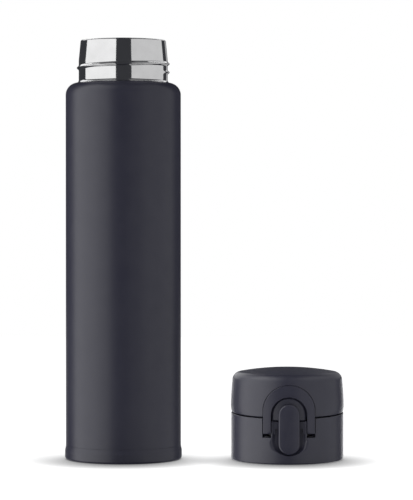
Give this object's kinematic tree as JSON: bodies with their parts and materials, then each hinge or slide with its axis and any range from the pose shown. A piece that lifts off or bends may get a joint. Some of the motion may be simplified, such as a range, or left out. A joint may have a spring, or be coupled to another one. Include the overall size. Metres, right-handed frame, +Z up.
{
  "type": "vacuum flask",
  "caption": "Slim double-walled vacuum flask with a threaded steel neck and an unscrewed one-touch flip lid with a push button and a lock ring.",
  "frame": {"origin": "centre of the ring that the flask stands on, on the flask's axis", "axes": "+Z up along the flask's axis, -Y towards the lid's latch, +X from the flask to the loose lid"},
  "size_m": [0.1454, 0.0634, 0.2182],
  "materials": {
    "body_paint": "satin powder coat, fine texture",
    "bare_steel": "turned and polished stainless steel",
    "lid_plastic": "satin moulded polypropylene",
    "latch_plastic": "satin moulded plastic, slightly darker",
    "inner_plastic": "smooth food-grade polypropylene",
    "silicone": "matte translucent grey silicone",
    "spring_steel": "drawn wire",
    "copper_foil": "bright copper foil",
    "getter_alloy": "sintered pellet",
    "solder_glass": "fired solder glass"
  },
  "bodies": {
    "flask": {"outer_shell": "body_paint", "inner_liner": "bare_steel", "liner_bottom": "bare_steel", "vacuum_disc": "bare_steel", "base_cup": "body_paint", "getter": "getter_alloy", "getter_clip": "bare_steel", "seal_bead": "solder_glass", "radiation_foil": "copper_foil"},
    "lid": {"lid_base": "lid_plastic", "threaded_insert": "inner_plastic", "spout": "inner_plastic", "spout_gasket": "silicone", "hinge_pin": "bare_steel", "hinge_spring": "spring_steel", "button_pin": "bare_steel", "button_spring": "spring_steel"},
    "flip_cap": {"flip_cap": "lid_plastic", "cap_liner": "inner_plastic", "cap_seal": "silicone"},
    "lock_ring": {"lock_ring": "latch_plastic"},
    "button": {"push_button": "latch_plastic"}
  },
  "joints": [
    {"name": "lid_lift", "type": "slide", "parent": "flask", "child": "lid", "axis": [0, 0, 1], "range_m": [0, 0.23]},
    {"name": "flip_cap_hinge", "type": "hinge", "parent": "lid", "child": "flip_cap", "pos_m": [0.0855, 0.0272, 0.02612], "axis": [-1, 0, 0], "range_deg": [0, 150], "deforming": ["hinge_spring"]},
    {"name": "lock_ring_swing", "type": "hinge", "parent": "lid", "child": "lock_ring", "pos_m": [0.0855, -0.0284, 0.0174], "axis": [1, 0, 0], "range_deg": [0, 100]},
    {"name": "button_press", "type": "hinge", "parent": "lid", "child": "button", "pos_m": [0.0855, -0.0286, 0.02], "axis": [1, 0, 0], "range_deg": [0, 6], "stiffness_Nm_per_rad": 0.1, "springref_deg": -11.46, "deforming": ["button_spring"]}
  ]
}
